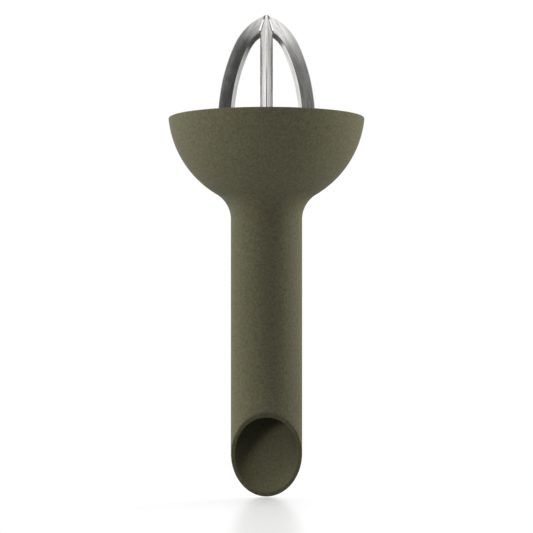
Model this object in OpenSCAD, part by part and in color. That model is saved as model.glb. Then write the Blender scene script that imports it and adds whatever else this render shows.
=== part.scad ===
/* [Bowl] */
// Outer diameter of the bowl at its rim
bowl_d = 90; // [82:1:100]
// Height of the centre of the bowl's sphere above the rim
bowl_centre_up = 4; // [2:0.5:7]
// Wall of the bowl
bowl_wall = 1.8; // [1.4:0.1:2.4]
// Rounding along the two edges of the rim
rim_round = 0.5; // [0.2:0.1:0.6]

/* [Handle and spout] */
// Height of the body from the tip of the spout to the rim
body_h = 177; // [150:1:200]
// Outer diameter of the handle
handle_d = 32.8; // [29:0.2:36]
// Wall of the handle tube
handle_wall = 2; // [1.4:0.05:2.4]
// Radius of the hollow shoulder between the handle and the bowl
shoulder_r = 13.4; // [10:0.2:16]
// Slope of the cut across the spout, from the horizontal
spout_angle = 53; // [40:1:62]

/* [Seat of the strainer] */
// Inner diameter of the bowl at the ledge
seat_d = 53.9; // [52:0.1:58]
// Width of the ledge, from the bowl's wall inwards
ledge_w = 5.2; // [4.8:0.1:6]
// Number of keys that stand on the ledge
key_count = 3; // [2:1:4]
// Diameter of a key
key_d = 2.2; // [1.6:0.1:2.6]
// Distance of the keys from the bowl's wall
key_inset = 3.4; // [3.3:0.1:3.6]

/* [Reamer] */
// Height of the point above the rim of the bowl
point_up = 47.8; // [44:0.2:52]
// Widest diameter across the ridges of two opposite ribs
ridge_d = 45; // [40:0.5:48]
// Depth of that widest place below the rim
belly_drop = 1.3; // [0:0.1:4]
// Radius of the ridge along the flank
flank_r = 85; // [75:1:100]
// Radius of the ridge along the nose
nose_r = 26.6; // [22:0.2:32]
// Number of ribs
rib_count = 4; // [4:1:4]
// Radius of the rounded crown of a rib
crown_r = 0.55; // [0.4:0.05:0.8]
// Widest part of a rib, across
rib_w = 5.7; // [5:0.1:6.4]
// Depth of a rib from its crown to its widest part
side_depth = 6.05; // [5.4:0.05:6.6]
// Depth of the bevel behind the widest part
bevel_depth = 1.65; // [1.2:0.05:2]
// Width of the flat inner side of a rib
inner_w = 3; // [2.4:0.1:3.6]

/* [Slots at the point] */
// Top of the slots below the point
slot_top_drop = 2.3; // [2:0.1:3]
// Bottom of the slots below the point
slot_foot_drop = 7.9; // [7:0.1:8]
// Half width of the hollow at the top of the slots
hollow_top = 1.8; // [1.6:0.05:2]
// Half width of the hollow at the bottom of the slots
hollow_foot = 3.65; // [3.4:0.05:3.8]
// Half width of the square throat below the hollow
hollow_throat = 2.1; // [1.8:0.1:2.3]

/* [Strainer plate] */
// Thickness of the plate
plate_t = 1.2; // [0.8:0.1:1.6]
// Width of a strainer slot
strain_w = 1.8; // [1.4:0.1:2.2]
// Radial step from one ring of slots to the next
strain_step = 3.5; // [3.2:0.1:4]
// Radius of the innermost ring of slots
strain_first_r = 6; // [5:0.5:7]
// Rings of slots
strain_rings = 4; // [2:1:4]
// Plate left between a slot and a rib
strain_land = 1.6; // [1:0.1:2.5]
// Diameter of the hole in the middle
strain_hole_d = 4; // [2:0.2:6]
// Diameter of the rivet stem under each rib
rivet_d = 2.6; // [2:0.1:3]
// Diameter of the rivet head
rivet_head_d = 4; // [3.4:0.1:4.6]
// Height of the rivet head
rivet_head_h = 0.6; // [0.4:0.1:1]

/* [Seal ring] */
// Thickness of each lip of the ring
ring_lip_t = 0.8; // [0.6:0.1:1.2]
// How far the lips reach in over the plate
ring_lip_w = 1; // [0.6:0.1:1.2]
// Thickness of the ring outside the edge of the plate
ring_wall = 0.6; // [0.4:0.1:0.8]

/* [Fits] */
// Gap between the ring and the bowl's wall
seat_gap = 0.25; // [0.15:0.05:0.4]
// Gap round each key
key_gap = 0.15; // [0.1:0.05:0.3]

/* [Hidden] */
$fn = 96;

// Body
handle_r = handle_d / 2;
bore_r = handle_r - handle_wall;
rim_r = bowl_d / 2;
sphere_r = sqrt(rim_r * rim_r + bowl_centre_up * bowl_centre_up);
inner_r = sphere_r - bowl_wall;
sphere_z = body_h + bowl_centre_up;
shoulder_x = handle_r + shoulder_r;
reach = sphere_r + shoulder_r;
shoulder_z = sphere_z - sqrt(reach * reach - shoulder_x * shoulder_x);
blend_x = shoulder_x * sphere_r / reach;
blend_z = sphere_z + (shoulder_z - sphere_z) * sphere_r / reach;
cut_size = 4 * handle_d;

// Seat
seat_r = seat_d / 2;
ledge_z = sphere_z - sqrt(inner_r * inner_r - seat_r * seat_r);
throat_r = seat_r - ledge_w;
funnel_r = shoulder_r + handle_wall;
key_ring_r = seat_r - key_inset;

// Ring and plate stand on the ledge
ring_r = seat_r - seat_gap;
plate_r = ring_r - ring_wall;
plate_z = ledge_z + ring_lip_t;
foot_z = plate_z + plate_t;

// Ridge of a rib: a flank arc and a nose arc that meet without a kink
flank_x = ridge_d / 2 - flank_r;
flank_z = body_h - belly_drop;
point_z = body_h + point_up;
arc_gap = flank_r - nose_r;
point_far = norm([flank_x, point_z - flank_z]);
point_turn = atan2(point_z - flank_z, -flank_x);
lean_in = acos((arc_gap * arc_gap + point_far * point_far - nose_r * nose_r) / (2 * arc_gap * point_far));
join_angle = point_turn - lean_in;
foot_angle = asin((plate_z - flank_z) / (flank_r - side_depth - bevel_depth)) - 1;
past_point = 80;

// Section of a rib, depth from the crown and half width
rib_depth = side_depth + bevel_depth;
side_run = side_depth - crown_r;
side_far = norm([side_run, rib_w / 2]);
side_slope = atan2(rib_w / 2, side_run) - asin(crown_r / side_far);
crown_end = crown_r * (1 - sin(side_slope));
crown_half = crown_r * cos(side_slope);

// Foot of a rib on the plate
foot_drop = flank_z - foot_z;
foot_out = flank_x + sqrt(flank_r * flank_r - foot_drop * foot_drop);
rivet_x = foot_out - rib_depth / 2;
// How far keys and rivet stems run into what carries them
foot_sink = 1;

// Outline of the outside, from the axis out
module outside() {
    difference() {
        polygon([
            [0, 0], [handle_r, 0], [handle_r, shoulder_z], [blend_x, shoulder_z],
            [blend_x, blend_z + 1], [0, blend_z + 1]
        ]);
        translate([shoulder_x, shoulder_z]) circle(shoulder_r);
    }
    intersection() {
        translate([0, sphere_z]) circle(sphere_r);
        translate([0, blend_z]) square([rim_r + 1, body_h - blend_z]);
    }
}

// Outline of the inside: bore, funnel, throat under the ledge, and bowl
module inside() {
    difference() {
        polygon([
            [0, -1], [bore_r, -1], [bore_r, shoulder_z], [throat_r, shoulder_z],
            [throat_r, ledge_z + 1], [0, ledge_z + 1]
        ]);
        translate([shoulder_x, shoulder_z]) circle(funnel_r);
    }
    intersection() {
        translate([0, sphere_z]) circle(inner_r);
        translate([0, ledge_z]) square([rim_r, body_h - ledge_z + 1]);
    }
}

// What is cut off to round one edge of the rim; side is 1 outside and -1 inside
module rim_edge(wall_r, side) {
    edge_z = body_h - rim_round;
    centre_r = wall_r - side * rim_round;
    centre_x = sqrt(centre_r * centre_r - pow(sphere_z - edge_z, 2));
    lead = [centre_x, edge_z - sphere_z] * (wall_r + side) / centre_r;
    translate([centre_x, edge_z]) difference() {
        polygon([
            [0, 0], [0, 1], [side * 2, 1],
            [lead[0] - centre_x, lead[1] + sphere_z - edge_z]
        ]);
        circle(rim_round);
    }
}

module body() {
    color("darkolivegreen") {
        difference() {
            rotate_extrude() difference() {
                outside();
                inside();
                rim_edge(sphere_r, 1);
                rim_edge(inner_r, -1);
            }
            translate([0, handle_r, 0]) rotate([-spout_angle, 0, 0])
                translate([-cut_size / 2, -cut_size, -cut_size]) cube([cut_size, 2 * cut_size, cut_size]);
        }
        for (i = [0 : key_count - 1]) rotate([0, 0, 45 + i * 360 / key_count])
            translate([key_ring_r, 0, ledge_z - foot_sink])
                cylinder(h = foot_sink + ring_lip_t + plate_t, d = key_d);
    }
}

// Section of a rib, with its crown at x = 0 and its inner side towards -x
module rib_section() {
    translate([-crown_r, 0]) circle(crown_r);
    polygon([
        [-crown_end, crown_half], [-side_depth, rib_w / 2], [-rib_depth, inner_w / 2],
        [-rib_depth, -inner_w / 2], [-side_depth, -rib_w / 2], [-crown_end, -crown_half]
    ]);
}

// The section swept along one arc of the ridge, about the arc's centre
module rib_arc(r, from, to) {
    rotate_extrude(angle = to - from, start = from) translate([r, 0]) rib_section();
}

// One rib, from the plate to the axis; both arcs are drawn in a frame turned to their joint
module rib() {
    intersection() {
        translate([flank_x, 0, flank_z]) rotate([90, -join_angle, 0]) {
            rib_arc(flank_r, foot_angle - join_angle, 0);
            translate([arc_gap, 0, 0]) rib_arc(nose_r, 0, past_point - join_angle);
        }
        translate([0, -rib_w, foot_z]) cube([ridge_d, 2 * rib_w, point_z]);
    }
    translate([rivet_x, 0, plate_z - rivet_head_h]) {
        cylinder(h = rivet_head_h + plate_t + foot_sink, d = rivet_d);
        cylinder(h = rivet_head_h, d = rivet_head_d);
    }
}

// One side pair of walls of the hollow under the point, cut right through along Y
module hollow_side() {
    slot_foot = point_z - slot_foot_drop;
    slot_top = point_z - slot_top_drop;
    throat_low = point_z - 2 * slot_foot_drop;
    rotate([90, 0, 0]) translate([0, 0, -ridge_d / 2]) linear_extrude(ridge_d) polygon([
        [-hollow_top, slot_top], [hollow_top, slot_top], [hollow_foot, slot_foot],
        [hollow_throat, slot_foot], [hollow_throat, throat_low],
        [-hollow_throat, throat_low], [-hollow_throat, slot_foot], [-hollow_foot, slot_foot]
    ]);
}

module reamer() {
    color("silver") difference() {
        for (i = [0 : rib_count - 1]) rotate([0, 0, i * 360 / rib_count]) rib();
        intersection() {
            hollow_side();
            rotate([0, 0, 90]) hollow_side();
        }
    }
}

// A ring of slots between the ribs
module strainer_ring(r) {
    clear = asin(min(0.9, (rib_w / 2 + strain_land) / r));
    for (i = [0 : rib_count - 1])
        rotate_extrude(angle = 360 / rib_count - 2 * clear, start = i * 360 / rib_count + clear)
            translate([r - strain_w / 2, -1]) square([strain_w, plate_t + 2]);
}

module strainer_plate() {
    color("silver") translate([0, 0, plate_z]) difference() {
        cylinder(h = plate_t, r = plate_r);
        translate([0, 0, -1]) cylinder(h = plate_t + 2, d = strain_hole_d);
        for (i = [0 : strain_rings - 1]) strainer_ring(strain_first_r + i * strain_step);
        for (i = [0 : rib_count - 1]) rotate([0, 0, i * 360 / rib_count])
            translate([rivet_x, 0, -1]) cylinder(h = plate_t + 2, d = rivet_d);
        for (i = [0 : key_count - 1]) rotate([0, 0, 45 + i * 360 / key_count])
            translate([key_ring_r, 0, -1]) cylinder(h = plate_t + 2, d = key_d + 2 * key_gap);
    }
}

module seal_ring() {
    color("dimgray") rotate_extrude() difference() {
        translate([plate_r - ring_lip_w, ledge_z]) square([ring_lip_w + ring_wall, plate_t + 2 * ring_lip_t]);
        translate([plate_r - ring_lip_w - 1, plate_z]) square([ring_lip_w + 1, plate_t]);
    }
}

body();
reamer();
strainer_plate();
seal_ring();
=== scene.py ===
import math

import bpy
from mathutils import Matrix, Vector


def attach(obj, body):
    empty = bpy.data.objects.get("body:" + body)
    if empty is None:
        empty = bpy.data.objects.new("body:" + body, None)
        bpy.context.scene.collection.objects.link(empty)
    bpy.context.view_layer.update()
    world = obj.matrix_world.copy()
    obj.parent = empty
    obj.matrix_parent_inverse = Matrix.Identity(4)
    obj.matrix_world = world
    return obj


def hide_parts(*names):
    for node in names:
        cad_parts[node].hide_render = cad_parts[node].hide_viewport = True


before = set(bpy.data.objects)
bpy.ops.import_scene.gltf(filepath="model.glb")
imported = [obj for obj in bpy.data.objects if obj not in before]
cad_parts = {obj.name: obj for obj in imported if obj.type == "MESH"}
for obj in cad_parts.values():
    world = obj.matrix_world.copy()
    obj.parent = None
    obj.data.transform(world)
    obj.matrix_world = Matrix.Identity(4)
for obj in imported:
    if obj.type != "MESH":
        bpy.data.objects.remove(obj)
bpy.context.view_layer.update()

# Camera: a level view of the whole juicer from the side that the spout faces, at the distance
# that the drawn curve of the rim gives. The lens is worked out for a square picture.
MM = 0.001
PICTURE_PX = 533
CAMERA_PX = 1313
PX_SIZE = 0.46 * MM
CAMERA_Z = 108.9 * MM

camera_data = bpy.data.cameras.new("camera")
camera_data.sensor_width = 36
camera_data.lens = camera_data.sensor_width * CAMERA_PX / PICTURE_PX
camera_data.clip_start = 0.01
camera_data.clip_end = 30
camera = bpy.data.objects.new("camera", camera_data)
camera.location = (0, -CAMERA_PX * PX_SIZE, CAMERA_Z)
camera.rotation_euler = (math.radians(90), 0, 0)
bpy.context.collection.objects.link(camera)
bpy.context.scene.camera = camera


# Body: bowl, hollow handle and slanted spout are one injection moulding in a mineral-filled
# plastic. It is drawn as one closed wall: up the outside, over the rim, and down the inside
# to the ledge for the insert, the throat and the bore, then cut off at a slant.
RIM_R = 45 * MM
RIM_Z = 177 * MM
BOWL_CENTRE_UP = 4 * MM
BOWL_WALL = 1.8 * MM
RIM_ROUND = 0.55 * MM
HANDLE_R = 16.4 * MM
BORE_R = 14.4 * MM
SHOULDER_R = 13.4 * MM
SPOUT_SLOPE = math.radians(53)
SEAT_R = 26.95 * MM
LEDGE_W = 5.2 * MM
LEAD_IN = 0.3 * MM
LIP_ROUND = 0.45 * MM
TUBE_START_Z = -2 * MM
TUBE_RINGS_Z = (60 * MM, 95 * MM)
ROUND_STEPS = 160
MERGE_GAP = 0.004 * MM
CUT_TOLERANCE = 0.0001 * MM


def select_none():
    """Leaves nothing selected, so that an operator acts on new work alone."""
    for item in bpy.context.selected_objects:
        item.select_set(False)


def begin_piece(name):
    """Names the primitive just added and opens it in edit mode, all selected."""
    piece = bpy.context.active_object
    piece.name = name
    piece.data.name = name
    bpy.ops.object.transform_apply(location=True, rotation=True, scale=True)
    bpy.ops.object.mode_set(mode="EDIT")
    bpy.ops.mesh.select_mode(type="VERT")
    bpy.ops.mesh.select_all(action="SELECT")
    return piece


def pick(piece, mode, keep):
    """Selects the vertices, edges or faces of an open mesh for which keep(item) is true."""
    bpy.ops.mesh.select_mode(type=mode)
    bpy.ops.mesh.select_all(action="DESELECT")
    bpy.ops.object.mode_set(mode="OBJECT")
    mesh = piece.data
    for item in {"VERT": mesh.vertices, "EDGE": mesh.edges, "FACE": mesh.polygons}[mode]:
        item.select = bool(keep(item))
    bpy.ops.object.mode_set(mode="EDIT")


def end_piece(piece, smooth_deg):
    """Closes edit mode with the faces turned outwards and curved surfaces shaded smooth."""
    bpy.ops.mesh.select_all(action="SELECT")
    bpy.ops.mesh.remove_doubles(threshold=MERGE_GAP)
    bpy.ops.mesh.normals_make_consistent(inside=False)
    bpy.ops.object.mode_set(mode="OBJECT")
    bpy.ops.object.shade_smooth_by_angle(angle=math.radians(smooth_deg))


def ring_to(now, radius, height):
    """Extrudes the selected ring of edges to a new radius and height, and returns them."""
    old_radius, old_height = now
    grow = radius / old_radius
    bpy.ops.mesh.extrude_region_move(
        TRANSFORM_OT_translate={"value": (0, 0, height - old_height)})
    bpy.ops.transform.resize(value=(grow, grow, 1), center_override=(0, 0, height))
    return radius, height


def arc_points(centre, radius, start_deg, end_deg, steps):
    """Points along an arc in the plane of radius and height, after the first one."""
    step_deg = (end_deg - start_deg) / steps
    turns = [math.radians(start_deg + step_deg * i) for i in range(1, steps + 1)]
    return [(centre[0] + radius * math.cos(t), centre[1] + radius * math.sin(t)) for t in turns]


sphere_centre = (0, RIM_Z + BOWL_CENTRE_UP)
sphere_r = math.hypot(RIM_R, BOWL_CENTRE_UP)
inner_r = sphere_r - BOWL_WALL
shoulder_x = HANDLE_R + SHOULDER_R
shoulder_z = sphere_centre[1] - math.sqrt((sphere_r + SHOULDER_R) ** 2 - shoulder_x ** 2)
blend_deg = math.degrees(math.atan2(shoulder_z - sphere_centre[1], shoulder_x))

# The two roundings of the rim touch the outer and the inner sphere and the flat between them
round_z = RIM_Z - RIM_ROUND
drop = sphere_centre[1] - round_z
outer_round_x = math.sqrt((sphere_r - RIM_ROUND) ** 2 - drop ** 2)
inner_round_x = math.sqrt((inner_r + RIM_ROUND) ** 2 - drop ** 2)
outer_edge_deg = -math.degrees(math.asin(drop / (sphere_r - RIM_ROUND)))
inner_edge_deg = -math.degrees(math.asin(drop / (inner_r + RIM_ROUND)))

ledge_deg = -math.degrees(math.acos(SEAT_R / inner_r))
ledge_z = sphere_centre[1] + inner_r * math.sin(math.radians(ledge_deg))
throat_r = SEAT_R - LEDGE_W
funnel_r = SHOULDER_R + HANDLE_R - BORE_R
throat_deg = 180 - math.degrees(math.acos((shoulder_x - throat_r) / funnel_r))

profile = [(HANDLE_R, height) for height in TUBE_RINGS_Z] + [(HANDLE_R, shoulder_z)]
profile += arc_points((shoulder_x, shoulder_z), SHOULDER_R, 180, 180 + blend_deg, 14)
profile += arc_points(sphere_centre, sphere_r, blend_deg, outer_edge_deg, 34)
profile += arc_points((outer_round_x, round_z), RIM_ROUND, outer_edge_deg, 90, 6)
profile += [(inner_round_x, RIM_Z)]
profile += arc_points((inner_round_x, round_z), RIM_ROUND, 90, 180 - inner_edge_deg, 6)
profile += arc_points(sphere_centre, inner_r, inner_edge_deg, ledge_deg, 28)
profile += [(throat_r + LEAD_IN, ledge_z), (throat_r, ledge_z - LEAD_IN)]
profile += [(throat_r, shoulder_z + funnel_r * math.sin(math.radians(throat_deg)))]
profile += arc_points((shoulder_x, shoulder_z), funnel_r, throat_deg, 180, 12)
profile += [(BORE_R, height) for height in TUBE_RINGS_Z[::-1]] + [(BORE_R, TUBE_START_Z)]

select_none()
ring = (HANDLE_R, TUBE_START_Z)
bpy.ops.mesh.primitive_circle_add(vertices=ROUND_STEPS, radius=ring[0], location=(0, 0, ring[1]))
body = begin_piece("body_shell")
for radius, height in profile:
    ring = ring_to(ring, radius, height)

# The slanted cut goes through the outer and the inner wall, and its face is filled between them
bpy.ops.mesh.select_all(action="SELECT")
cut_normal = Vector((0, -math.sin(SPOUT_SLOPE), -math.cos(SPOUT_SLOPE)))
bpy.ops.mesh.bisect(
    plane_co=(0, HANDLE_R, 0), plane_no=cut_normal, clear_outer=True, threshold=CUT_TOLERANCE)
bpy.ops.mesh.select_mode(type="EDGE")
bpy.ops.mesh.select_all(action="DESELECT")
bpy.ops.mesh.select_non_manifold(extend=False)
bpy.ops.mesh.bridge_edge_loops()
pick(
    body, "FACE",
    lambda face: abs(face.normal.dot(cut_normal)) > 0.99 and face.center.z < TUBE_RINGS_Z[0])
bpy.ops.mesh.region_to_loop()
bpy.ops.mesh.bevel(offset=LIP_ROUND, segments=4, profile=0.5)
end_piece(body, 35)

# Three pegs on the ledge keep the plate from turning
KEY_R = 1.1 * MM
KEY_RING_R = 23.55 * MM
KEY_H = 2 * MM
KEY_ROOT = 0.3 * MM
KEY_ROUND = 0.3 * MM
for turn_deg in (45, 165, 285):
    select_none()
    turn = math.radians(turn_deg)
    foot = (KEY_RING_R * math.cos(turn), KEY_RING_R * math.sin(turn), ledge_z - KEY_ROOT)
    bpy.ops.mesh.primitive_circle_add(
        vertices=28, radius=KEY_R, fill_type="NGON", location=foot)
    key = begin_piece("key")
    bpy.ops.mesh.extrude_region_move(TRANSFORM_OT_translate={"value": (0, 0, KEY_H + KEY_ROOT)})
    bpy.ops.mesh.bevel(offset=KEY_ROUND, segments=3)
    end_piece(key, 40)
    body.select_set(True)
    bpy.context.view_layer.objects.active = body
    bpy.ops.object.join()

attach(body, "handle_body")
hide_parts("body")


def linear(hex_code):
    """Turns an sRGB hex colour into the linear colour that a shader reads."""
    parts = [int(hex_code[i:i + 2], 16) / 255 for i in (1, 3, 5)]
    return [c / 12.92 if c <= 0.04045 else ((c + 0.055) / 1.055) ** 2.4 for c in parts] + [1]


def new_material(name):
    """Makes an empty material and returns it with its node tree and output."""
    material = bpy.data.materials.new(name)
    material.use_nodes = True
    tree = material.node_tree
    tree.nodes.clear()
    return material, tree, tree.nodes.new("ShaderNodeOutputMaterial")


def add_node(tree, kind, links=None, values=None, **settings):
    """Adds a node, sets its properties and its inputs' values, and links its inputs."""
    node = tree.nodes.new(kind)
    for key, value in settings.items():
        setattr(node, key, value)
    for key, value in (values or {}).items():
        node.inputs[key].default_value = value
    for key, socket in (links or {}).items():
        tree.links.new(socket, node.inputs[key])
    return node


# Moulded plastic with a mineral filler: matte, with specks about 0.5 mm across, soft clouds
# of green and brown a few mm wide, and a fine grain from the mould that breaks up the sheen.
SPECK_SIZE = 1.1 * MM
CLOUD_SIZE = 11 * MM
GRAIN_SIZE = 0.3 * MM
plastic, tree, output = new_material("mineral_filled_plastic")
place = add_node(tree, "ShaderNodeTexCoord")
specks = add_node(
    tree, "ShaderNodeTexNoise", {"Vector": place.outputs["Object"]},
    {"Scale": 1 / SPECK_SIZE, "Detail": 3, "Roughness": 0.6})
clouds = add_node(
    tree, "ShaderNodeTexNoise", {"Vector": place.outputs["Object"]},
    {"Scale": 1 / CLOUD_SIZE, "Detail": 3, "Roughness": 0.5})
hue = add_node(tree, "ShaderNodeValToRGB", {"Fac": clouds.outputs["Fac"]})
hue.color_ramp.elements[0].position = 0.35
hue.color_ramp.elements[0].color = linear("#625e49")
hue.color_ramp.elements[1].position = 0.65
hue.color_ramp.elements[1].color = linear("#61604a")
speck_tone = add_node(
    tree, "ShaderNodeMapRange", {"Value": specks.outputs["Fac"]},
    {"From Min": 0.3, "From Max": 0.7, "To Min": 0.78, "To Max": 1.19})
tint = add_node(
    tree, "ShaderNodeVectorMath", {0: hue.outputs["Color"]}, operation="SCALE")
tree.links.new(speck_tone.outputs["Result"], tint.inputs["Scale"])
grain = add_node(
    tree, "ShaderNodeTexNoise", {"Vector": place.outputs["Object"]},
    {"Scale": 1 / GRAIN_SIZE, "Detail": 2})
relief = add_node(
    tree, "ShaderNodeBump", {"Height": grain.outputs["Fac"]},
    {"Strength": 0.3, "Distance": 0.05 * MM})
surface = add_node(
    tree, "ShaderNodeBsdfPrincipled",
    {"Base Color": tint.outputs["Vector"], "Normal": relief.outputs["Normal"]},
    {"Roughness": 0.7, "IOR": 1.46, "Specular IOR Level": 0.18})
tree.links.new(surface.outputs["BSDF"], output.inputs["Surface"])
body.data.materials.clear()
body.data.materials.append(plastic)


# Reamer: four stainless steel ribs at right angles, ground to a rounded crown with flat sides
# and a bevelled inner side, welded where they meet in a point, and brushed along their length.
# One rib is drawn and copied, and the narrow slots under the point are then cut through.
RIDGE_R = 22.5 * MM
BELLY_DROP = 1.3 * MM
FLANK_R = 85 * MM
NOSE_R = 26.6 * MM
POINT_UP = 47.8 * MM
CROWN_R = 0.55 * MM
RIB_HALF = 2.85 * MM
SIDE_DEPTH = 6.05 * MM
RIB_DEPTH = 7.7 * MM
INNER_HALF = 1.5 * MM
SIDE_BULGE = 0.08 * MM
CORNER_R = 0.12 * MM
CROWN_FLAT = 0.04 * MM
FOOT_UP = 2 * MM
FOOT_SPARE = math.radians(1)
NOSE_SWEEP = math.radians(80)
ON_PLANE = 0.001 * MM

flank_centre = (RIDGE_R - FLANK_R, RIM_Z - BELLY_DROP)
point_z = RIM_Z + POINT_UP
arc_gap = FLANK_R - NOSE_R
point_far = math.hypot(flank_centre[0], point_z - flank_centre[1])
point_turn = math.atan2(point_z - flank_centre[1], -flank_centre[0])
join_turn = point_turn - math.acos(
    (arc_gap ** 2 + point_far ** 2 - NOSE_R ** 2) / (2 * arc_gap * point_far))
nose_centre = (
    flank_centre[0] + arc_gap * math.cos(join_turn),
    flank_centre[1] + arc_gap * math.sin(join_turn))
foot_z = ledge_z + FOOT_UP
foot_turn = math.asin((foot_z - flank_centre[1]) / (FLANK_R - RIB_DEPTH)) - FOOT_SPARE


def rounded(before, corner, after, radius, steps):
    """Points of an arc that rounds a corner of the section, given as depth and half width."""
    back, ahead = (Vector(before) - Vector(corner)), (Vector(after) - Vector(corner))
    back.normalize()
    ahead.normalize()
    half = back.angle(ahead) / 2
    centre = Vector(corner) + (back + ahead).normalized() * radius / math.sin(half)
    start = Vector(corner) + back * radius / math.tan(half) - centre
    end = Vector(corner) + ahead * radius / math.tan(half) - centre
    span = start.angle(end)
    points = []
    for i in range(steps + 1):
        part = i / steps
        mixed = start * math.sin((1 - part) * span) + end * math.sin(part * span)
        points.append(tuple(centre + mixed / math.sin(span)))
    return points


# Half of the rib's section, from the inner face to the crown, as depth under the ridge and
# half width: inner corner, bevel, outer corner, a side that bulges slightly, and the crown
side_run = SIDE_DEPTH - CROWN_R
side_slope = math.atan2(RIB_HALF, side_run) - math.asin(CROWN_R / math.hypot(side_run, RIB_HALF))
crown_end = (CROWN_R * (1 - math.sin(side_slope)), CROWN_R * math.cos(side_slope))
inner_corner, outer_corner = (RIB_DEPTH, INNER_HALF), (SIDE_DEPTH, RIB_HALF)
section = rounded((RIB_DEPTH, 0), inner_corner, outer_corner, CORNER_R, 3)
for part in (0.1, 0.9):
    section.append((
        RIB_DEPTH + (SIDE_DEPTH - RIB_DEPTH) * part, INNER_HALF + (RIB_HALF - INNER_HALF) * part))
section += rounded(inner_corner, outer_corner, crown_end, CORNER_R, 4)
for part in (0.04, 0.2, 0.4, 0.6, 0.8, 0.96):
    bulge = SIDE_BULGE * 4 * part * (1 - part)
    section.append((
        SIDE_DEPTH + (crown_end[0] - SIDE_DEPTH) * part - bulge * math.sin(side_slope),
        RIB_HALF + (crown_end[1] - RIB_HALF) * part + bulge * math.cos(side_slope)))
for i in range(7):
    turn = side_slope + (math.pi / 2 - side_slope) * i / 7
    section.append((CROWN_R * (1 - math.sin(turn)), CROWN_R * math.cos(turn)))
section.append((0, CROWN_FLAT))

# One edge of a plane, set across the inner face, is drawn out along the section to the crown
select_none()
depth, half = section[0]
inner_x, crown_x = RIDGE_R - depth, RIDGE_R - section[-1][0]
start = (inner_x, 0, flank_centre[1])
bpy.ops.mesh.primitive_plane_add(size=1, location=start)
reamer = begin_piece("reamer_ribs")
pick(reamer, "VERT", lambda vert: vert.co.x > inner_x)
bpy.ops.mesh.delete(type="VERT")
bpy.ops.mesh.select_all(action="SELECT")
bpy.ops.transform.translate(value=(0.5, 0, 0))
bpy.ops.transform.resize(value=(1, 2 * half, 1), center_override=start)
for next_depth, next_half in section[1:]:
    bpy.ops.mesh.extrude_region_move(
        TRANSFORM_OT_translate={"value": (depth - next_depth, 0, 0)})
    spot = (RIDGE_R - next_depth, 0, flank_centre[1])
    bpy.ops.transform.resize(value=(1, next_half / half, 1), center_override=spot)
    depth, half = next_depth, next_half


def crosses(edge):
    """Tells an edge that lies across the section, other than its two ends."""
    ends = [reamer.data.vertices[i].co for i in edge.vertices]
    mid_x = (ends[0].x + ends[1].x) / 2
    return ends[0].y * ends[1].y < 0 and inner_x + ON_PLANE < mid_x < crown_x - ON_PLANE


# Only the outline of the section is kept. It is swept down to the foot and up over the nose,
# cut off level at the foot, and mitred where the four ribs meet.
bpy.ops.mesh.select_all(action="SELECT")
bpy.ops.mesh.delete(type="ONLY_FACE")
pick(reamer, "EDGE", crosses)
bpy.ops.mesh.delete(type="EDGE")
bpy.ops.mesh.select_all(action="SELECT")
flank_pivot = (flank_centre[0], 0, flank_centre[1])
nose_pivot = (nose_centre[0], 0, nose_centre[1])
bpy.ops.mesh.spin(steps=16, angle=-foot_turn, center=flank_pivot, axis=(0, -1, 0))
pick(reamer, "VERT", lambda vert: abs(vert.co.z - flank_centre[1]) < ON_PLANE)
bpy.ops.mesh.spin(steps=24, angle=join_turn, center=flank_pivot, axis=(0, 1, 0))
bpy.ops.mesh.spin(steps=30, angle=NOSE_SWEEP - join_turn, center=nose_pivot, axis=(0, 1, 0))
bpy.ops.mesh.select_all(action="SELECT")
bpy.ops.mesh.bisect(
    plane_co=(0, 0, foot_z), plane_no=(0, 0, 1), clear_inner=True, use_fill=True,
    threshold=CUT_TOLERANCE)
for side in (-1, 1):
    bpy.ops.mesh.select_all(action="SELECT")
    bpy.ops.mesh.bisect(
        plane_co=(0, 0, 0), plane_no=(1, side, 0), clear_inner=True, threshold=CUT_TOLERANCE)
bpy.ops.mesh.select_all(action="SELECT")
for turn in range(3):
    bpy.ops.mesh.duplicate()
    bpy.ops.transform.rotate(value=math.radians(90), orient_axis="Z", center_override=(0, 0, 0))
end_piece(reamer, 30)

# The hollow under the point, whose corners break out between the ribs as slots
SLOT_TOP_DROP = 2.3 * MM
SLOT_FOOT_DROP = 7.9 * MM
HOLLOW_TOP = 1.8 * MM
HOLLOW_FOOT = 3.65 * MM
THROAT_HALF = 2.1 * MM
slot_foot_z = point_z - SLOT_FOOT_DROP
level, half = slot_foot_z - SLOT_FOOT_DROP, THROAT_HALF
select_none()
bpy.ops.mesh.primitive_plane_add(size=2 * half, location=(0, 0, level))
cutter = begin_piece("hollow_cutter")
for next_level, next_half in (
    (slot_foot_z, THROAT_HALF), (slot_foot_z, HOLLOW_FOOT), (point_z - SLOT_TOP_DROP, HOLLOW_TOP),
):
    bpy.ops.mesh.extrude_region_move(
        TRANSFORM_OT_translate={"value": (0, 0, next_level - level)})
    grow = next_half / half
    bpy.ops.transform.resize(value=(grow, grow, 1), center_override=(0, 0, next_level))
    level, half = next_level, next_half
end_piece(cutter, 30)
select_none()
bpy.context.view_layer.objects.active = reamer
reamer.select_set(True)
cut = reamer.modifiers.new("hollow", "BOOLEAN")
cut.operation = "DIFFERENCE"
cut.object = cutter
cut.solver = "EXACT"
bpy.ops.object.modifier_apply(modifier=cut.name)
bpy.data.objects.remove(cutter)
bpy.ops.object.shade_smooth_by_angle(angle=math.radians(30))

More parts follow.
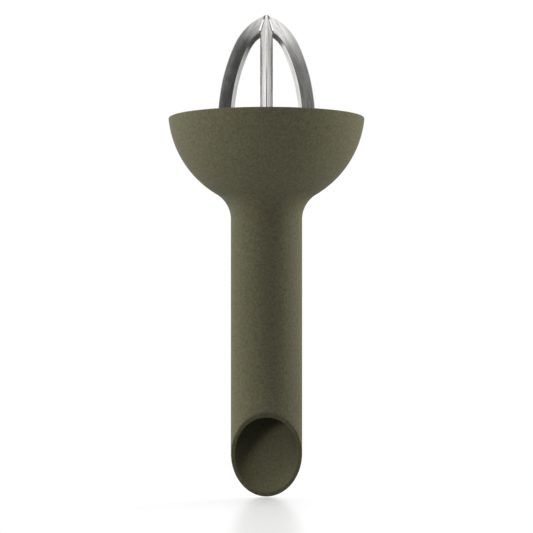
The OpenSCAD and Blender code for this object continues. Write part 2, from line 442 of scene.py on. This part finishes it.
# Rivet stems go through the plate and are closed under it
RIVET_R = 1.3 * MM
RIVET_HEAD_R = 2 * MM
RIVET_HEAD_H = 0.6 * MM
RIVET_ROUND = 0.2 * MM
STEM_IN_RIB = 0.5 * MM
PLATE_T = 1.2 * MM
plate_z = foot_z - PLATE_T
foot_drop = flank_centre[1] - foot_z
rivet_x = flank_centre[0] + math.sqrt(FLANK_R ** 2 - foot_drop ** 2) - RIB_DEPTH / 2
for spot in ((rivet_x, 0), (0, rivet_x), (-rivet_x, 0), (0, -rivet_x)):
    select_none()
    bpy.ops.mesh.primitive_circle_add(
        vertices=32, radius=RIVET_HEAD_R, fill_type="NGON",
        location=(spot[0], spot[1], plate_z - RIVET_HEAD_H))
    rivet = begin_piece("rivet")
    bpy.ops.mesh.extrude_region_move(TRANSFORM_OT_translate={"value": (0, 0, RIVET_HEAD_H)})
    bpy.ops.mesh.inset(thickness=RIVET_HEAD_R - RIVET_R)
    bpy.ops.mesh.extrude_region_move(
        TRANSFORM_OT_translate={"value": (0, 0, PLATE_T + STEM_IN_RIB)})
    pick(rivet, "FACE", lambda face: face.center.z < plate_z - 0.99 * RIVET_HEAD_H)
    bpy.ops.mesh.bevel(offset=RIVET_ROUND, segments=3)
    end_piece(rivet, 40)
    reamer.select_set(True)
    bpy.context.view_layer.objects.active = reamer
    bpy.ops.object.join()

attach(reamer, "reamer_insert")
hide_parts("reamer")

# Brushed stainless steel: the belt leaves fine scratches in arcs along each rib, which blur
# the reflections a little and streak them. They are drawn up to 1.4 mm apart, coarser than
# real ones, so that they show. The creases between the ribs, under the point, are darkened in
# the colour: painted shade where little light reaches.
STREAK_WIDE = 1.4 * MM
STREAK_LONG = 14 * MM
PATCH_SIZE = 4 * MM
# Width and height of the painted shade in the creases under the point
CREASE_SHADE_WIDE = 1.2 * MM
CREASE_SHADE_DROP = (9.5 * MM, 8 * MM)
steel, tree, output = new_material("brushed_stainless_steel")
place = add_node(tree, "ShaderNodeTexCoord")
spot = add_node(tree, "ShaderNodeSeparateXYZ", {"Vector": place.outputs["Object"]})
far_x = add_node(tree, "ShaderNodeMath", {0: spot.outputs["X"]}, operation="ABSOLUTE")
far_y = add_node(tree, "ShaderNodeMath", {0: spot.outputs["Y"]}, operation="ABSOLUTE")
out = add_node(
    tree, "ShaderNodeMath", {0: far_x.outputs["Value"], 1: far_y.outputs["Value"]},
    operation="MAXIMUM")
across = add_node(
    tree, "ShaderNodeMath", {0: far_x.outputs["Value"], 1: far_y.outputs["Value"]},
    operation="MINIMUM")
out_far = add_node(
    tree, "ShaderNodeMath", {0: out.outputs["Value"]}, {1: flank_centre[0]}, operation="SUBTRACT")
up_far = add_node(
    tree, "ShaderNodeMath", {0: spot.outputs["Z"]}, {1: flank_centre[1]}, operation="SUBTRACT")
arm = add_node(
    tree, "ShaderNodeCombineXYZ", {"X": out_far.outputs["Value"], "Y": up_far.outputs["Value"]})
arc_r = add_node(tree, "ShaderNodeVectorMath", {0: arm.outputs["Vector"]}, operation="LENGTH")
brush_place = add_node(
    tree, "ShaderNodeCombineXYZ",
    {"X": arc_r.outputs["Value"], "Y": across.outputs["Value"], "Z": up_far.outputs["Value"]})
brush_scale = add_node(
    tree, "ShaderNodeVectorMath", {0: brush_place.outputs["Vector"]},
    {1: (1 / STREAK_WIDE, 1 / STREAK_WIDE, 1 / STREAK_LONG)}, operation="MULTIPLY")
scratches = add_node(
    tree, "ShaderNodeTexNoise", {"Vector": brush_scale.outputs["Vector"]},
    {"Scale": 1, "Detail": 4, "Roughness": 0.65})
streaks = add_node(tree, "ShaderNodeValToRGB", {"Fac": scratches.outputs["Fac"]})
streaks.color_ramp.elements[0].position = 0.35
streaks.color_ramp.elements[0].color = linear("#c3c2c0")
streaks.color_ramp.elements[1].position = 0.62
streaks.color_ramp.elements[1].color = linear("#eae9e7")
patches = add_node(
    tree, "ShaderNodeTexNoise", {"Vector": place.outputs["Object"]},
    {"Scale": 1 / PATCH_SIZE, "Detail": 2})
rough = add_node(
    tree, "ShaderNodeMapRange", {"Value": patches.outputs["Fac"]},
    {"From Min": 0.3, "From Max": 0.7, "To Min": 0.14, "To Max": 0.2})
relief = add_node(
    tree, "ShaderNodeBump", {"Height": scratches.outputs["Fac"]},
    {"Strength": 0.5, "Distance": 0.06 * MM})
# Painted shade: the colour darkens towards the creases between the ribs, near the point
crease = add_node(
    tree, "ShaderNodeMath", {0: out.outputs["Value"], 1: across.outputs["Value"]},
    operation="SUBTRACT")
crease_shade = add_node(
    tree, "ShaderNodeMapRange", {"Value": crease.outputs["Value"]},
    {"From Min": 0.0, "From Max": CREASE_SHADE_WIDE, "To Min": 0.15, "To Max": 1.0},
    interpolation_type="SMOOTHSTEP")
near_point = add_node(
    tree, "ShaderNodeMapRange", {"Value": spot.outputs["Z"]},
    {"From Min": point_z - CREASE_SHADE_DROP[0], "From Max": point_z - CREASE_SHADE_DROP[1],
     "To Min": 0.0, "To Max": 1.0})
painted_crease_shade = add_node(
    tree, "ShaderNodeMix",
    {"Factor": near_point.outputs["Result"], "B": crease_shade.outputs["Result"]}, {"A": 1.0})
tint = add_node(tree, "ShaderNodeVectorMath", {0: streaks.outputs["Color"]}, operation="SCALE")
tree.links.new(painted_crease_shade.outputs["Result"], tint.inputs["Scale"])
surface = add_node(
    tree, "ShaderNodeBsdfPrincipled",
    {"Base Color": tint.outputs["Vector"], "Roughness": rough.outputs["Result"],
     "Normal": relief.outputs["Normal"]},
    {"Metallic": 1})
tree.links.new(surface.outputs["BSDF"], output.inputs["Surface"])
reamer.data.materials.clear()
reamer.data.materials.append(steel)


# Strainer plate: stainless sheet 1.2 mm thick with rings of slots punched between the ribs, its
# edges broken by tumbling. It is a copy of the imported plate, merged, whose edges are rounded.
EDGE_BREAK = 0.14 * MM
SAME_SPOT = 0.001 * MM
packed_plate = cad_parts["strainer_plate"]
select_none()
plate = packed_plate.copy()
plate.data = packed_plate.data.copy()
plate.parent = None
plate.matrix_world = packed_plate.matrix_world.copy()
bpy.context.collection.objects.link(plate)
bpy.context.view_layer.objects.active = plate
plate.select_set(True)
begin_piece("strainer_sheet")
bpy.ops.mesh.customdata_custom_splitnormals_clear()
bpy.ops.mesh.remove_doubles(threshold=SAME_SPOT)
bpy.ops.mesh.dissolve_limited(angle_limit=math.radians(1))
bpy.ops.mesh.select_mode(type="EDGE")
bpy.ops.mesh.select_all(action="DESELECT")
bpy.ops.mesh.edges_select_sharp(sharpness=math.radians(50))
bpy.ops.mesh.bevel(offset=EDGE_BREAK, segments=2, profile=0.5, loop_slide=False)
end_piece(plate, 20)
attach(plate, "reamer_insert")
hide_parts("strainer_plate")

# Satin-ground stainless sheet: a fine grain in lines about 8 mm long dulls the reflections. It
# is drawn 0.2 mm apart, coarser than the real one, so that it shows.
GRAIN_LONG = 8 * MM
GRAIN_WIDE = 0.2 * MM
sheet, tree, output = new_material("satin_stainless_sheet")
place = add_node(tree, "ShaderNodeTexCoord")
stretch = add_node(
    tree, "ShaderNodeMapping", {"Vector": place.outputs["Object"]},
    {"Scale": (1 / GRAIN_LONG, 1 / GRAIN_WIDE, 1 / GRAIN_WIDE)})
scratches = add_node(
    tree, "ShaderNodeTexNoise", {"Vector": stretch.outputs["Vector"]},
    {"Scale": 1, "Detail": 3, "Roughness": 0.6})
rough = add_node(
    tree, "ShaderNodeMapRange", {"Value": scratches.outputs["Fac"]},
    {"From Min": 0.3, "From Max": 0.7, "To Min": 0.26, "To Max": 0.36})
relief = add_node(
    tree, "ShaderNodeBump", {"Height": scratches.outputs["Fac"]},
    {"Strength": 0.3, "Distance": 0.01 * MM})
surface = add_node(
    tree, "ShaderNodeBsdfPrincipled",
    {"Roughness": rough.outputs["Result"], "Normal": relief.outputs["Normal"]},
    {"Base Color": linear("#d6d6d8"), "Metallic": 1})
tree.links.new(surface.outputs["BSDF"], output.inputs["Surface"])
plate.data.materials.clear()
plate.data.materials.append(sheet)


# Seal ring: soft silicone rubber moulded round the edge of the plate, a U in section, which
# centres the plate in the bowl. It is drawn as rings round its section, with rounded lips.
RING_OUT = 26.7 * MM
RING_IN = 25.1 * MM
GROOVE_R = 26.1 * MM
LIP_T = 0.8 * MM
LIP_CORNER = 0.3 * MM
ring_top = foot_z + LIP_T
select_none()
ring = (GROOVE_R, plate_z)
bpy.ops.mesh.primitive_circle_add(vertices=ROUND_STEPS, radius=ring[0], location=(0, 0, ring[1]))
seal = begin_piece("seal_ring_rounded")
profile = [(RING_IN, plate_z), (RING_IN, ledge_z + LIP_CORNER)]
profile += arc_points((RING_IN + LIP_CORNER, ledge_z + LIP_CORNER), LIP_CORNER, 180, 270, 4)
profile += [(RING_OUT - LIP_CORNER, ledge_z)]
profile += arc_points((RING_OUT - LIP_CORNER, ledge_z + LIP_CORNER), LIP_CORNER, -90, 0, 4)
profile += [(RING_OUT, ring_top - LIP_CORNER)]
profile += arc_points((RING_OUT - LIP_CORNER, ring_top - LIP_CORNER), LIP_CORNER, 0, 90, 4)
profile += [(RING_IN + LIP_CORNER, ring_top)]
profile += arc_points((RING_IN + LIP_CORNER, ring_top - LIP_CORNER), LIP_CORNER, 90, 180, 4)
profile += [(RING_IN, foot_z), (GROOVE_R, foot_z), (GROOVE_R, plate_z)]
for radius, height in profile:
    ring = ring_to(ring, radius, height)
end_piece(seal, 35)
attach(seal, "reamer_insert")
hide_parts("seal_ring")

# Silicone rubber, moulded matte: dark grey-green, with a faint dusty bloom
BLOOM_SIZE = 1.5 * MM
rubber, tree, output = new_material("matte_silicone_rubber")
place = add_node(tree, "ShaderNodeTexCoord")
bloom = add_node(
    tree, "ShaderNodeTexNoise", {"Vector": place.outputs["Object"]},
    {"Scale": 1 / BLOOM_SIZE, "Detail": 3})
shade = add_node(tree, "ShaderNodeValToRGB", {"Fac": bloom.outputs["Fac"]})
shade.color_ramp.elements[0].position = 0.35
shade.color_ramp.elements[0].color = linear("#2f302a")
shade.color_ramp.elements[1].position = 0.7
shade.color_ramp.elements[1].color = linear("#3a3b33")
relief = add_node(
    tree, "ShaderNodeBump", {"Height": bloom.outputs["Fac"]},
    {"Strength": 0.2, "Distance": 0.05 * MM})
surface = add_node(
    tree, "ShaderNodeBsdfPrincipled",
    {"Base Color": shade.outputs["Color"], "Normal": relief.outputs["Normal"]},
    {"Roughness": 0.6, "IOR": 1.41})
tree.links.new(surface.outputs["BSDF"], output.inputs["Surface"])
seal.data.materials.clear()
seal.data.materials.append(rubber)


# Floor: a plain white glossy sheet under the juicer, which mirrors the spout faintly and keeps
# its shadow. Seen straight it glows a little, so that it stays white. It throws little light
# back on the juicer, and fades out away from it, so that no edge of it shows from any side.
SHEET_SIZE = 400 * MM
SHEET_PLACE = (0, 50 * MM, -0.02 * MM)
FADE_FROM = 75 * MM
FADE_TO = 145 * MM
select_none()
bpy.ops.mesh.primitive_grid_add(
    x_subdivisions=8, y_subdivisions=8, size=SHEET_SIZE, location=SHEET_PLACE)
floor = bpy.context.active_object
floor.name = "floor"
bpy.ops.object.transform_apply(location=True, rotation=True, scale=True)
acrylic, tree, output = new_material("white_acrylic_sheet")
path = add_node(tree, "ShaderNodeLightPath")
place = add_node(tree, "ShaderNodeTexCoord")
from_foot = add_node(
    tree, "ShaderNodeVectorMath", {0: place.outputs["Object"]}, operation="LENGTH")
sheet_tone = add_node(
    tree, "ShaderNodeMapRange", {"Value": path.outputs["Is Camera Ray"]},
    {"To Min": 0.1, "To Max": 0.37})
sheet_finish = add_node(
    tree, "ShaderNodeBsdfPrincipled", {"Base Color": sheet_tone.outputs["Result"]},
    {"Roughness": 0.34, "IOR": 1.45})
glow_power = add_node(
    tree, "ShaderNodeMapRange", {"Value": path.outputs["Is Camera Ray"]},
    {"To Min": 0.0, "To Max": 0.41})
glow = add_node(
    tree, "ShaderNodeEmission", {"Strength": glow_power.outputs["Result"]},
    {"Color": (1, 1, 1, 1)})
both = add_node(
    tree, "ShaderNodeAddShader", {0: sheet_finish.outputs["BSDF"], 1: glow.outputs["Emission"]})
fade = add_node(
    tree, "ShaderNodeMapRange", {"Value": from_foot.outputs["Value"]},
    {"From Min": FADE_FROM, "From Max": FADE_TO, "To Min": 0.0, "To Max": 1.0},
    interpolation_type="SMOOTHSTEP")
clear = add_node(tree, "ShaderNodeBsdfTransparent")
faded = add_node(
    tree, "ShaderNodeMixShader",
    {"Fac": fade.outputs["Result"], 1: both.outputs["Shader"], 2: clear.outputs["BSDF"]})
tree.links.new(faded.outputs["Shader"], output.inputs["Surface"])
floor.data.materials.append(acrylic)


# Studio: pale walls at the sides and behind, a softbox overhead, a lit table below, and a dark
# front with one narrow strip light over the camera. Seen straight, or mirrored where it lies
# right behind the juicer, the room is plain white.
world = bpy.data.worlds.new("studio")
bpy.context.scene.world = world
world.use_nodes = True
tree = world.node_tree
tree.nodes.clear()
output = add_node(tree, "ShaderNodeOutputWorld")
path = add_node(tree, "ShaderNodeLightPath")
place = add_node(tree, "ShaderNodeTexCoord")
aim = add_node(tree, "ShaderNodeSeparateXYZ", {"Vector": place.outputs["Generated"]})
far_side = add_node(tree, "ShaderNodeMath", {0: aim.outputs["X"]}, operation="ABSOLUTE")

# The walls: they end where the dark front begins, and are dimmer on the right and low down
sides = add_node(
    tree, "ShaderNodeMapRange", {"Value": aim.outputs["Y"]},
    {"From Min": -0.7, "From Max": -0.25, "To Min": 0.0, "To Max": 1.0},
    interpolation_type="SMOOTHSTEP")
dimmer = add_node(
    tree, "ShaderNodeMapRange", {"Value": aim.outputs["X"]},
    {"From Min": 0.1, "From Max": 0.6, "To Min": 1.17, "To Max": 0.8},
    interpolation_type="SMOOTHSTEP")
edge_slant = add_node(
    tree, "ShaderNodeVectorMath", {0: place.outputs["Generated"]}, {1: (-0.078, 0, 1)},
    operation="DOT_PRODUCT")
under = add_node(
    tree, "ShaderNodeMapRange", {"Value": edge_slant.outputs["Value"]},
    {"From Min": -0.39, "From Max": -0.25, "To Min": 0.12, "To Max": 1.0},
    interpolation_type="SMOOTHSTEP")
walls = add_node(
    tree, "ShaderNodeMath", {0: sides.outputs["Result"], 1: dimmer.outputs["Result"]},
    operation="MULTIPLY")

# The front: nearly dark on the left and a little lighter on the right, with the strip light
camera_side = add_node(
    tree, "ShaderNodeMapRange", {"Value": aim.outputs["X"]},
    {"From Min": -0.7, "From Max": 0.7, "To Min": 0.065, "To Max": 0.2})
strip_wide = add_node(
    tree, "ShaderNodeMapRange", {"Value": far_side.outputs["Value"]},
    {"From Min": 0.05, "From Max": 0.16, "To Min": 0.75, "To Max": 0.0},
    interpolation_type="SMOOTHSTEP")
strip_high = add_node(
    tree, "ShaderNodeMapRange", {"Value": aim.outputs["Z"]}, {"From Min": 0.05, "From Max": 0.2})
strip = add_node(
    tree, "ShaderNodeMath", {0: strip_wide.outputs["Result"], 1: strip_high.outputs["Result"]},
    operation="MULTIPLY")
walls_and_front = add_node(
    tree, "ShaderNodeMath", {0: walls.outputs["Value"], 1: camera_side.outputs["Result"]},
    operation="MAXIMUM")
around = add_node(
    tree, "ShaderNodeMath", {0: walls_and_front.outputs["Value"], 1: strip.outputs["Value"]},
    operation="MAXIMUM")
low_room = add_node(
    tree, "ShaderNodeMath", {0: around.outputs["Value"], 1: under.outputs["Result"]},
    operation="MULTIPLY")

# The softbox: tilted a little, brighter on the right, split by a dark gap over the middle and
# ended by dark flags at the sides
slant = add_node(
    tree, "ShaderNodeVectorMath", {0: place.outputs["Generated"]}, {1: (0.155, 0, 1)},
    operation="DOT_PRODUCT")
softbox_rise = add_node(
    tree, "ShaderNodeMapRange", {"Value": slant.outputs["Value"]},
    {"From Min": 0.34, "From Max": 0.76, "To Min": 0.0, "To Max": 1.0},
    interpolation_type="SMOOTHSTEP")
softbox_side = add_node(
    tree, "ShaderNodeMapRange", {"Value": aim.outputs["X"]},
    {"From Min": -0.6, "From Max": 0.5, "To Min": 0.8, "To Max": 1.12},
    interpolation_type="SMOOTHSTEP")
softbox = add_node(
    tree, "ShaderNodeMath", {0: softbox_rise.outputs["Result"], 1: softbox_side.outputs["Result"]},
    operation="MULTIPLY")
gap = add_node(
    tree, "ShaderNodeMapRange", {"Value": far_side.outputs["Value"]},
    {"From Min": 0.05, "From Max": 0.22, "To Min": 0.1, "To Max": 1.0},
    interpolation_type="SMOOTHSTEP")
softbox_split = add_node(
    tree, "ShaderNodeMath", {0: softbox.outputs["Value"], 1: gap.outputs["Result"]},
    operation="MULTIPLY")
flags = add_node(
    tree, "ShaderNodeMapRange", {"Value": far_side.outputs["Value"]},
    {"From Min": 0.7, "From Max": 0.85, "To Min": 1.0, "To Max": 0.2},
    interpolation_type="SMOOTHSTEP")
softbox_seen = add_node(
    tree, "ShaderNodeMath", {0: softbox_split.outputs["Value"], 1: flags.outputs["Result"]},
    operation="MULTIPLY")

# The table: its light reaches matte surfaces, but the steel doesn't mirror it
table = add_node(
    tree, "ShaderNodeMapRange", {"Value": aim.outputs["Z"]},
    {"From Min": -0.45, "From Max": -0.62, "To Min": 0.0, "To Max": 1.42},
    interpolation_type="SMOOTHSTEP")
not_mirrored = add_node(
    tree, "ShaderNodeMath", {1: path.outputs["Is Glossy Ray"]}, {0: 1}, operation="SUBTRACT")
table_light = add_node(
    tree, "ShaderNodeMath", {0: table.outputs["Result"], 1: not_mirrored.outputs["Value"]},
    operation="MULTIPLY")
above_below = add_node(
    tree, "ShaderNodeMath", {0: softbox_seen.outputs["Value"], 1: table_light.outputs["Value"]},
    operation="MAXIMUM")
room_light = add_node(
    tree, "ShaderNodeMath", {0: low_room.outputs["Value"], 1: above_below.outputs["Value"]},
    operation="MAXIMUM")
room = add_node(
    tree, "ShaderNodeBackground", {"Strength": room_light.outputs["Value"]},
    {"Color": (1, 1, 1, 1)})

# The white that is seen straight, or mirrored right behind the juicer
white = add_node(tree, "ShaderNodeBackground", None, {"Color": (1, 1, 1, 1), "Strength": 1})
behind = add_node(
    tree, "ShaderNodeMapRange", {"Value": aim.outputs["Y"]},
    {"From Min": 0.88, "From Max": 0.98, "To Min": 0.0, "To Max": 1.0})
mirrored = add_node(
    tree, "ShaderNodeMath", {0: path.outputs["Is Glossy Ray"], 1: behind.outputs["Result"]},
    operation="MULTIPLY")
seen = add_node(
    tree, "ShaderNodeMath",
    {0: path.outputs["Is Camera Ray"], 1: path.outputs["Is Transmission Ray"]},
    operation="MAXIMUM")
shown = add_node(
    tree, "ShaderNodeMath", {0: seen.outputs["Value"], 1: mirrored.outputs["Value"]},
    operation="MAXIMUM")
mix = add_node(
    tree, "ShaderNodeMixShader",
    {"Fac": shown.outputs["Value"], 1: room.outputs["Background"], 2: white.outputs["Background"]})
tree.links.new(mix.outputs["Shader"], output.inputs["Surface"])

# Lamps: a large panel on each side, and a low one in front on the left that lights the inside
# of the spout. The steel doesn't mirror them.
for name, where, aim_at, size, spread_deg, watts in (
    ("left_panel", (-0.77, -0.1, 0.3), (0, 0, 0.1), (0.5, 0.75), 180, 4.15),
    ("right_panel", (0.77, 0.2, 0.3), (0, 0, 0.1), (0.4, 0.75), 180, 6.5),
    ("low_left_panel", (-0.22, -0.43, 0.09), (0, 0, -0.012), (0.36, 0.1), 17, 0.061),
):
    light_data = bpy.data.lights.new(name, "AREA")
    light_data.shape = "RECTANGLE"
    light_data.size, light_data.size_y = size
    light_data.spread = math.radians(spread_deg)
    light_data.energy = watts
    light = bpy.data.objects.new(name, light_data)
    light.location = where
    towards = Vector(aim_at) - light.location
    light.rotation_euler = towards.to_track_quat("-Z", "Y").to_euler()
    light.visible_glossy = False
    bpy.context.collection.objects.link(light)

bpy.context.scene.view_settings.view_transform = "Standard"
